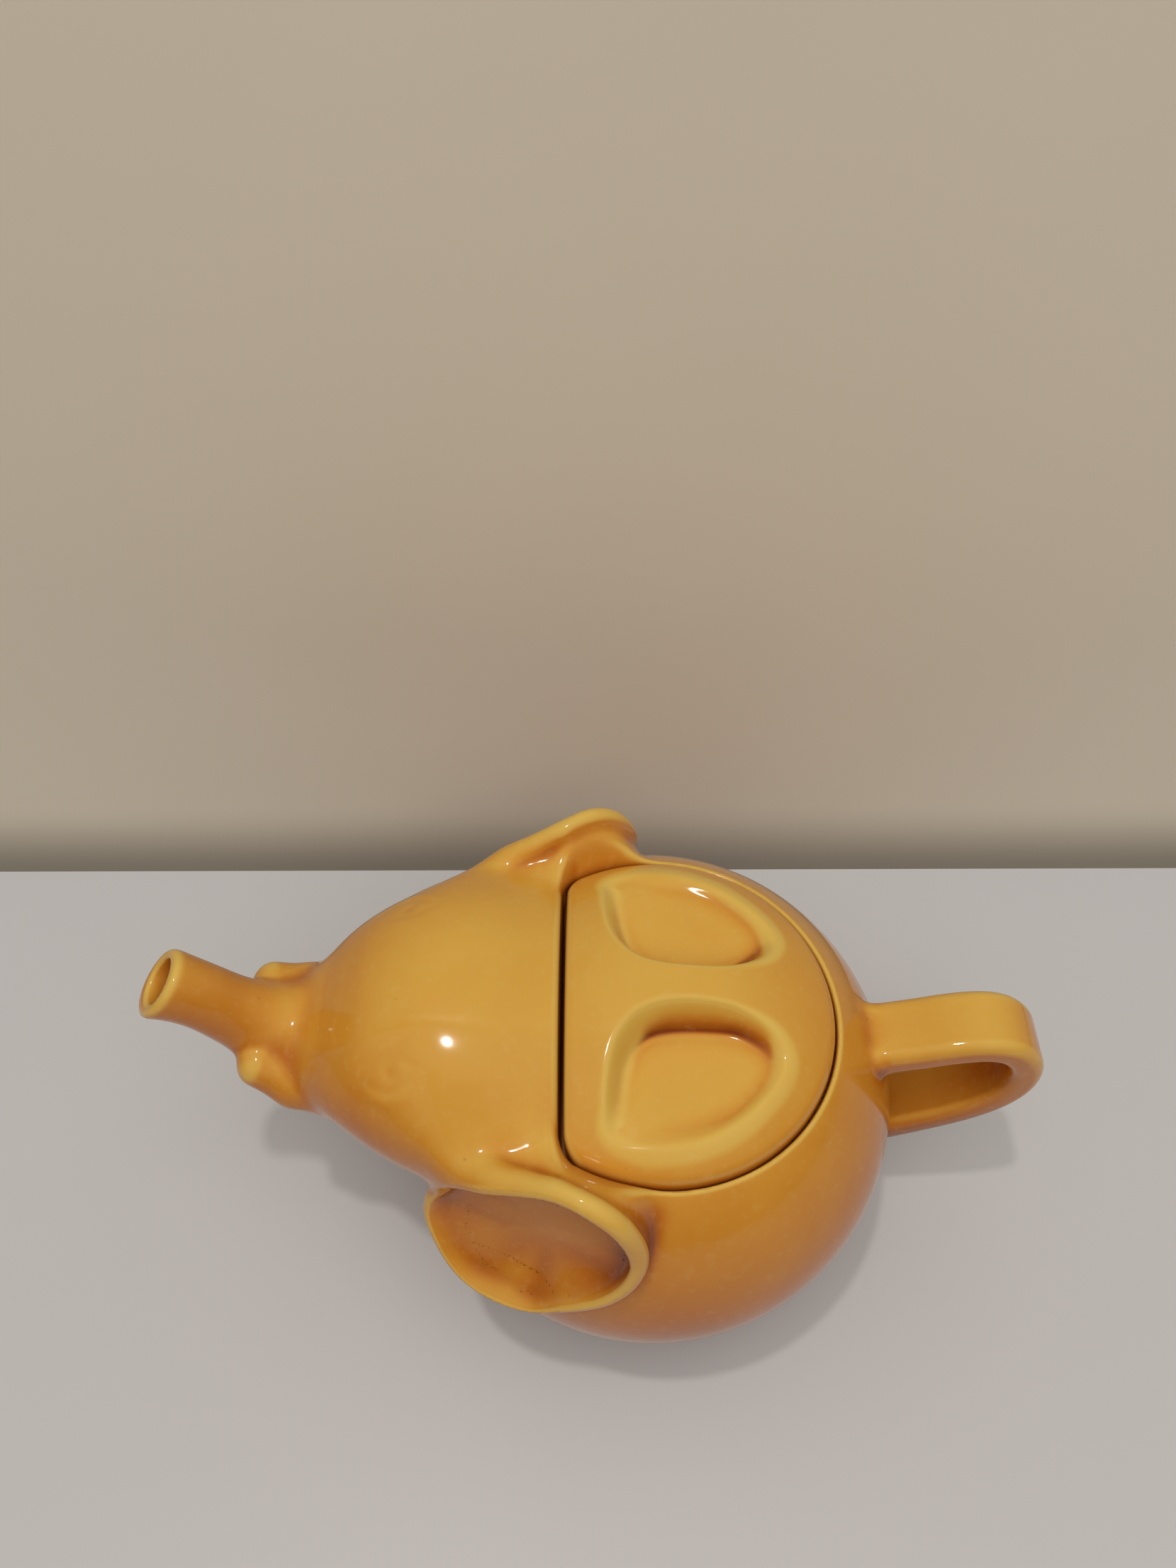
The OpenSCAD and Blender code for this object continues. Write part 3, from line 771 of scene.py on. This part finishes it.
def piece(name, net, faces, attrs, body):
    """The Blender mesh of one casting's faces."""
    quads = net.quads[faces]
    used, inverse = np.unique(quads, return_inverse=True)
    local = inverse.reshape(quads.shape)
    mesh = bpy.data.meshes.new(name + "_glazed")
    mesh.vertices.add(len(used))
    mesh.vertices.foreach_set("co", (net.verts[used] / 1000).astype(np.float32).ravel())
    mesh.loops.add(local.size)
    mesh.loops.foreach_set("vertex_index", local.ravel().astype(np.int32))
    mesh.polygons.add(len(local))
    mesh.polygons.foreach_set("loop_start", np.arange(0, local.size, 4, dtype=np.int32))
    mesh.polygons.foreach_set("use_smooth", np.ones(len(local), bool))
    mesh.update(calc_edges=True)
    # the skin is shaded by the field's normals, the joints flat
    point = net.verts[quads]
    flat = np.cross(point[:, 2] - point[:, 0], point[:, 3] - point[:, 1])
    flat /= np.maximum(np.linalg.norm(flat, axis=1, keepdims=True), 1e-9)
    joint = net.other[faces] != 0
    normals = net.normals[quads]
    normals[joint] = flat[joint][:, None, :]
    mesh.normals_split_custom_set(normals.reshape(-1, 3).astype(np.float32).tolist())
    for key, values in attrs.items():
        layer = mesh.attributes.new(key, "FLOAT", "POINT")
        layer.data.foreach_set("value", values[used].astype(np.float32))
    ob = bpy.data.objects.new(name + "_glazed", mesh)
    bpy.context.scene.collection.objects.link(ob)
    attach(ob, body)
    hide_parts("belly" if name == "shoulder" else name)
    return ob


def make_pieces(net, names, attrs, body):
    """A piece for each casting that has faces."""
    pieces = {}
    for number, name in enumerate(names, 1):
        faces = net.own == number
        if faces.any():
            pieces[name] = piece(name, net, faces, attrs, body)
    return pieces


def make_pot():
    net = Net(pot_field, pot_labels, (-130, -70, -2), (108, 70, 132), POT_STEP)
    height = net.verts[:, 2]
    inside = np.zeros(len(height))
    inside[net.skin] = ease(-1.5, -3.5, outer_field(*net.verts[net.skin].T)[0])
    # the glaze's darkening on the pot is its steepness plus a painted shade that deepens from
    # 84 mm down to 20 mm, towards the bottom
    attrs = {"crease": net.bend(2.0), "wide": net.bend(5.0), "inside": inside,
             "bare": ease(1.2, 0.4, height), "glaze_darkening": net.glaze_darkening() + 0.62 * ease(84.0, 20.0, height),
             "thin": np.zeros(len(height))}
    return make_pieces(net, CASTINGS, attrs, "pot")


def thin_glaze(net):
    """Where the lid's glaze is thinnest: inside the scoops' edges, and further in
    at their ends along X and on the sides away from the middle."""
    x, y, e = net.verts[:, 0], np.abs(net.verts[:, 1]), 1.2
    inset = look_up(SCOOP_INSET, x, y)
    slope_x = (look_up(SCOOP_INSET, x + e, y) - look_up(SCOOP_INSET, x - e, y)) / (2 * e)
    slope_y = (look_up(SCOOP_INSET, x, y + e) - look_up(SCOOP_INSET, x, y - e)) / (2 * e)
    away = np.maximum(-slope_y, 0)
    reach = -0.3 + 4.4 * slope_x * slope_x + 2.0 * away ** 2
    thin = ease(-3.0, -0.8, inset) * ease(reach + 1.6, reach - 0.8, inset)
    return thin * (net.normals[:, 2] > 0) * (1 - 0.35 * away)


def make_lid():
    net = Net(lid_field, lid_labels, (-24, -48, 85), (50, 48, 124), LID_STEP)
    thin = thin_glaze(net)
    attrs = {"crease": net.bend(2.0), "wide": net.bend(5.0),
             "inside": (net.normals[:, 2] < -0.2).astype(float), "bare": np.zeros(len(thin)),
             "thin": thin, "glaze_darkening": net.glaze_darkening() * (1 - 0.8 * thin)}
    return make_pieces(net, LID_CASTINGS, attrs, "lid")


# =====================================================================
# Materials
# =====================================================================
class Graph:
    """Short calls for building a node tree."""

    def __init__(self, tree):
        self.tree = tree
        tree.nodes.clear()
        self.x = 0

    def node(self, kind, inputs=None, **props):
        node = self.tree.nodes.new("ShaderNode" + kind)
        self.x += 40
        node.location = (self.x, 0)
        for key, value in props.items():
            setattr(node, key, value)
        for key, value in (inputs or {}).items():
            self.put(node.inputs[key], value)
        return node

    def put(self, socket, value):
        if isinstance(value, bpy.types.NodeSocket):
            self.tree.links.new(value, socket)
        else:
            socket.default_value = value

    def math(self, op, one, two=0.0):
        return self.node("Math", {0: one, 1: two}, operation=op).outputs[0]

    def add(self, one, two):
        return self.math("ADD", one, two)

    def sub(self, one, two):
        return self.math("SUBTRACT", one, two)

    def mul(self, one, two):
        return self.math("MULTIPLY", one, two)

    def map(self, value, src, dst=(0.0, 1.0), kind="SMOOTHSTEP"):
        """Takes the range src to the range dst."""
        inputs = {"Value": value, "From Min": src[0], "From Max": src[1],
                  "To Min": dst[0], "To Max": dst[1]}
        return self.node("MapRange", inputs, interpolation_type=kind).outputs["Result"]

    def mix(self, factor, one, two):
        node = self.node("Mix", {"Factor": factor}, data_type="RGBA")
        colours = [socket for socket in node.inputs if socket.type == "RGBA"]
        self.put(colours[0], one)
        self.put(colours[1], two)
        return [socket for socket in node.outputs if socket.type == "RGBA"][0]

    def noise(self, vec, scale, detail, rough=0.5, distort=0.0):
        return self.node("TexNoise", {"Scale": scale, "Detail": detail, "Roughness": rough,
                                      "Distortion": distort, "Vector": vec}).outputs["Fac"]

    def place(self):
        return self.node("TexCoord").outputs["Object"]

    def split(self, vec):
        return self.node("SeparateXYZ", {0: vec}).outputs


def new_material(name):
    """A material, its graph and the socket its shader goes to."""
    mat = bpy.data.materials.new(name)
    mat.use_nodes = True
    graph = Graph(mat.node_tree)
    return mat, graph, graph.tree.nodes.new("ShaderNodeOutputMaterial").inputs["Surface"]


def rgb(*levels):
    """Linear colour from 0-255 sRGB levels."""
    levels = [level / 255.0 for level in levels]
    return tuple(c / 12.92 if c < 0.04045 else ((c + 0.055) / 1.055) ** 2.4
                 for c in levels) + (1.0,)


# glaze colour from thin to thick: position, colour; the two ends come first
GLAZE = [(0.0, rgb(232, 208, 116)), (1.0, rgb(140, 62, 10)), (0.22, rgb(231, 196, 94)),
         (0.42, rgb(228, 176, 72)), (0.60, rgb(220, 152, 50)), (0.80, rgb(196, 112, 26))]


def glaze(name):
    mat, g, surface = new_material(name)
    obj = g.place()
    crease, wide, inside, bare, glaze_darkening, thin = (
        g.node("Attribute", attribute_name=key, attribute_type="GEOMETRY").outputs["Fac"]
        for key in ("crease", "wide", "inside", "bare", "glaze_darkening", "thin"))
    blot = g.noise(obj, scale=42.0, detail=4.0, rough=0.55, distort=0.5)
    cloud = g.noise(obj, scale=13.0, detail=2.0, distort=0.3)
    fine = g.noise(obj, scale=420.0, detail=3.0, rough=0.6)
    # the glaze is thin and pale on crests and thick and orange in creases and on steep sides;
    # on the pot a painted shade also darkens it towards the bottom
    pool = g.add(g.mul(g.math("MAXIMUM", crease, 0.0), 0.8),
                 g.mul(g.math("MAXIMUM", wide, 0.0), 0.28))
    pool = g.add(pool, g.mul(glaze_darkening, 0.62))
    for patch in (blot, cloud):
        pool = g.add(pool, g.mul(g.sub(patch, 0.5), 0.22))
    pool = g.add(pool, 0.03)
    ramp = g.node("ValToRGB")
    stops = ramp.color_ramp.elements
    for i, (position, colour) in enumerate(GLAZE):
        stop = stops[i] if i < 2 else stops.new(position)
        stop.position = position
        stop.color = colour
    g.put(ramp.inputs["Fac"], g.map(pool, src=(-0.75, 1.0), kind="LINEAR"))
    col = ramp.outputs["Color"]
    # pale glaze on sharp crests and where it is thin
    edge = g.mul(g.map(crease, src=(-0.14, -0.40), dst=(0.0, 0.62)),
                 g.map(glaze_darkening, src=(0.72, 1.05), dst=(1.0, 0.25)))
    worn = g.mul(g.mul(thin, 0.8), g.map(blot, src=(0.25, 0.6), dst=(0.55, 1.0)))
    col = g.mix(g.math("MAXIMUM", edge, worn), col, rgb(233, 195, 93))
    # a few small iron specks, then a pale fine mottle
    cell = g.node("TexVoronoi", {"Scale": 150.0, "Vector": obj})
    speck = g.map(cell.outputs["Distance"], src=(0.085, 0.02))
    pick = g.map(g.noise(obj, scale=70.0, detail=2.0), src=(0.60, 0.66))
    spots = g.mul(speck, pick)
    col = g.mix(g.mul(spots, 0.38), col, rgb(130, 70, 24))
    col = g.mix(g.mul(g.map(fine, src=(0.5, 0.8)), 0.12), col, rgb(238, 206, 128))
    col = g.mix(g.mul(inside, 0.5), col, rgb(206, 138, 50))
    clay = g.mix(fine, rgb(198, 180, 152), rgb(222, 206, 180))
    col = g.mix(bare, col, clay)
    rough = g.map(g.noise(obj, scale=48.0, detail=3.0), src=(0.3, 0.7), dst=(0.07, 0.13))
    shader = g.node("BsdfPrincipled", {
        "Base Color": col,
        "Roughness": g.add(rough, g.mul(bare, 0.75)),
        "IOR": 1.46,
        "Coat Roughness": 0.03,
        "Coat Weight": g.mul(g.sub(1.0, bare), 0.12),
        "Subsurface Weight": 0.08,
        "Subsurface Radius": (1.0, 0.45, 0.15),
        "Subsurface Scale": 0.0012})
    # soft waves, a fine grain and pits at the specks
    height = g.add(g.mul(g.noise(obj, scale=60.0, detail=2.0, rough=0.45), 0.8),
                   g.mul(fine, 0.04))
    height = g.sub(height, g.mul(spots, 0.12))
    bump = g.node("Bump", {"Strength": 0.22, "Distance": 0.0003, "Height": height})
    g.put(shader.inputs["Normal"], bump.outputs["Normal"])
    g.put(surface, shader.outputs[0])
    return mat


def table_material():
    mat, g, surface = new_material("table_white")
    light = rgb(213, 209, 206)
    dark = tuple(level * 0.94 for level in light[:3]) + (1.0,)
    col = g.mix(g.noise(g.place(), scale=6.0, detail=3.0), dark, light)
    shader = g.node("BsdfPrincipled", {"Base Color": col, "Roughness": 0.45,
                                       "Specular IOR Level": 0.5})
    g.put(surface, shader.outputs[0])
    return mat


def wall_material():
    """A matt wall with a painted shade at its foot, and clear when seen from its +Y side."""
    mat, g, surface = new_material("wall_beige")
    geometry = g.node("NewGeometry").outputs
    # painted shade: the wall's colour goes darker over its lowest 42 mm, towards the table
    foot = g.map(g.split(geometry["Position"])[2], src=(0.0, 0.042), dst=(0.42, 1.0))
    patch = g.noise(g.place(), scale=7.0, detail=3.0)
    col = g.mix(patch, rgb(232, 220, 199), rgb(241, 229, 208))
    col = g.mix(foot, (0.0, 0.0, 0.0, 1.0), col)
    shader = g.node("BsdfPrincipled", {"Base Color": col, "Roughness": 0.85,
                                       "Specular IOR Level": 0.1})
    behind = g.math("GREATER_THAN", g.split(geometry["Incoming"])[1], 0.0)
    clear = g.node("BsdfTransparent")
    mix = g.node("MixShader", {0: behind, 1: shader.outputs[0], 2: clear.outputs[0]})
    g.put(surface, mix.outputs[0])
    return mat


# =====================================================================
# Stage, light and camera, in metres
# =====================================================================
WALL_Y, WALL_SKEW = 0.1115, 0.0031      # the wall's y at x = 0, and its fall per metre of x
STAGE_X = (-3, -1, 1, 3)


def sheet(name, rows, mat):
    """A stage surface through rows of points."""
    mesh = bpy.data.meshes.new(name)
    width = len(rows[0])
    faces = [(i * width + j, i * width + j + 1, (i + 1) * width + j + 1, (i + 1) * width + j)
             for i in range(len(rows) - 1) for j in range(width - 1)]
    mesh.from_pydata([point for row in rows for point in row], [], faces)
    for polygon in mesh.polygons:
        polygon.use_smooth = True
    ob = bpy.data.objects.new(name, mesh)
    ob.data.materials.append(mat)
    bpy.context.scene.collection.objects.link(ob)
    return ob


def area_light(name, loc, aim, size, power, colour, shape):
    light = bpy.data.lights.new(name, "AREA")
    light.energy = power
    light.color = colour
    light.shape = shape
    light.size = light.size_y = size
    ob = bpy.data.objects.new(name, light)
    bpy.context.scene.collection.objects.link(ob)
    ob.location = loc
    ob.rotation_euler = (Vector(aim) - Vector(loc)).to_track_quat("-Z", "Y").to_euler()
    return ob


def make_world():
    """Soft room light: bright above, beige walls, and a dim upright shape on the -Y side."""
    world = bpy.data.worlds.new("room")
    bpy.context.scene.world = world
    world.use_nodes = True
    g = Graph(world.node_tree)
    dir_x, dir_y, dir_z = g.split(g.node("TexCoord").outputs["Generated"])
    level = g.map(dir_z, src=(0.0, 0.95), dst=(0.30, 0.95))
    shape_x = g.map(g.math("ABSOLUTE", g.add(dir_x, 0.06)), src=(0.20, 0.27), dst=(1.0, 0.0))
    shape_z = g.mul(g.map(dir_z, src=(0.93, 0.88)), g.map(dir_z, src=(0.1, 0.3)))
    shape = g.mul(g.mul(shape_x, shape_z), g.map(dir_y, src=(0.0, -0.15)))
    level = g.mul(level, g.sub(1.0, g.mul(shape, 0.45)))
    col = g.mix(g.map(dir_z, src=(0.0, 0.6)), (0.80, 0.74, 0.66, 1), (0.95, 0.94, 0.925, 1))
    # the camera sees a plain warm colour instead of the room
    seen = g.node("LightPath").outputs["Is Camera Ray"]
    back = g.node("Background", {
        "Color": g.mix(seen, col, rgb(240, 222, 196)),
        "Strength": g.add(g.mul(g.mul(level, 0.51), g.sub(1.0, seen)), g.mul(seen, 0.42))})
    g.node("OutputWorld", {"Surface": back.outputs[0]})


def make_camera():
    data = bpy.data.cameras.new("camera")
    data.sensor_width = 36.0
    data.lens = 27.03
    ob = bpy.data.objects.new("camera", data)
    bpy.context.scene.collection.objects.link(ob)
    right = Vector((0.9999, 0.0022, -0.0134))
    down = Vector((-0.0065, -0.7877, -0.616))
    ahead_dir = Vector((-0.0119, 0.616, -0.7876))
    turn = Matrix((right, -down, -ahead_dir)).transposed()
    place = Vector((-12.257, -137.196, 370.8)) / 1000
    ob.matrix_world = Matrix.Translation(place) @ turn.to_4x4()
    bpy.context.scene.camera = ob


pieces = {**make_pot(), **make_lid()}
materials = {"outer_glaze": glaze("amber_glaze_outside"),
             "inner_glaze": glaze("amber_glaze_inside"),
             "bare_foot": glaze("bare_clay_foot")}
for name, ob in pieces.items():
    ob.data.materials.append(materials[SLOTS.get(name, "outer_glaze")])

table_mat, wall_mat = table_material(), wall_material()
sheet("floor_table", [[(x, y, 0.0) for x in STAGE_X] for y in (-3, -1, 0.2, 3)], table_mat)
wall = sheet("backdrop_wall", [[(x, WALL_Y - WALL_SKEW * x, z) for x in STAGE_X]
                               for z in (0.0, 0.2, 1.0, 2.6)], wall_mat)
wall.visible_shadow = wall.visible_diffuse = False

area_light("lamp", loc=(-0.15, -0.115, 1.32), aim=(0, 0, 0.1), size=0.055, power=2.5,
           colour=(1.0, 0.965, 0.92), shape="DISK")
ceiling = area_light("ceiling", loc=(0.25, -0.75, 1.7), aim=(0, 0, 0), size=1.5, power=12.3,
                     colour=(1.0, 0.985, 0.96), shape="RECTANGLE")
ceiling.visible_glossy = False
ceiling.visible_camera = False
make_world()
make_camera()
bpy.context.scene.view_settings.view_transform = "Standard"
